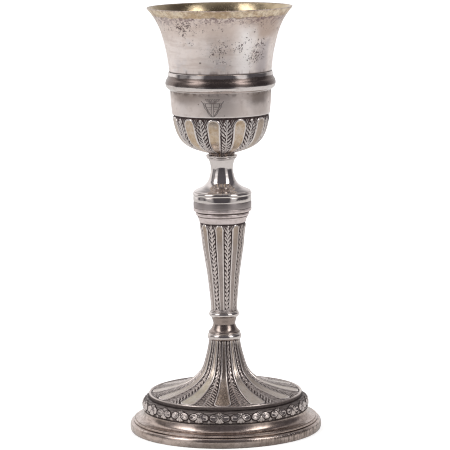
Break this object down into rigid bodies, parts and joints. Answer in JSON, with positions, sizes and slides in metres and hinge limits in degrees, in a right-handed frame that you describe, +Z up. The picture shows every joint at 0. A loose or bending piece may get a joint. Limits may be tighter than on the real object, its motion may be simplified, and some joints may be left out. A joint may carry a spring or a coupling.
{
  "type": "communion chalice",
  "caption": "Tall parcel-gilt silver chalice: flared cup screwed into a loose chased calyx, fluted baluster stem with drum knop, and stepped round foot with a palmette band.",
  "frame": {"origin": "centre of the foot's underside, on the table", "axes": "+Z up along the axis of the chalice, -Y to the front, where the shield on the calyx is, +X to the viewer's right"},
  "size_m": [0.1224, 0.1224, 0.27],
  "materials": {
    "silver_bright": "burnished silver, faint yellow-brown tarnish in the hollows",
    "silver_satin": "worn satin silver",
    "silver_chased": "chased silver, oxidised ground and bright ridges",
    "gilt_silver": "satin silver outside, gilt inside and along the lip",
    "iron": "dull filed iron"
  },
  "bodies": {
    "stand": {"base_rim": "silver_satin", "foot_cavetto_ring": "silver_satin", "palmette_band": "silver_chased", "foot_dome": "silver_chased", "foot_neck_ring": "silver_bright", "lower_spool": "silver_bright", "stem_base_ring": "silver_bright", "stem_shaft": "silver_chased", "stem_capital": "silver_satin", "knop_base_ring": "silver_bright", "knop_drum": "silver_satin", "neck_spool": "silver_bright", "seat_collar": "silver_satin", "coupling_sleeve": "silver_satin", "tie_rod": "iron"},
    "calyx": {"calyx_shell": "silver_chased", "calyx_rim_ring": "silver_bright"},
    "cup": {"cup_bowl": "gilt_silver", "cup_boss": "silver_satin", "cup_stud": "silver_satin"},
    "washer": {"foot_washer": "silver_satin"},
    "nut": {"retaining_nut": "iron"}
  },
  "joints": [
    {"name": "cup_turn", "type": "hinge", "parent": "stand", "child": "calyx", "pos_m": [0, 0, 0.1763], "axis": [0, 0, 1], "range_deg": [0, 2160]},
    {"name": "cup_lift", "type": "slide", "parent": "calyx", "child": "cup", "axis": [0, 0, 1], "range_m": [0, 0.0091]},
    {"name": "washer_drop", "type": "slide", "parent": "stand", "child": "washer", "axis": [0, 0, -1], "range_m": [0, 0.0075]},
    {"name": "nut_turn", "type": "hinge", "parent": "washer", "child": "nut", "pos_m": [0, 0, 0.054], "axis": [0, 0, -1], "range_deg": [0, 2160]}
  ],
  "couplings": [
    {"joint": "cup_lift", "follows": "cup_turn", "m_per_rad": 0.00023873},
    {"joint": "nut_turn", "follows": "washer_drop", "rad_per_m": 5026.5}
  ]
}
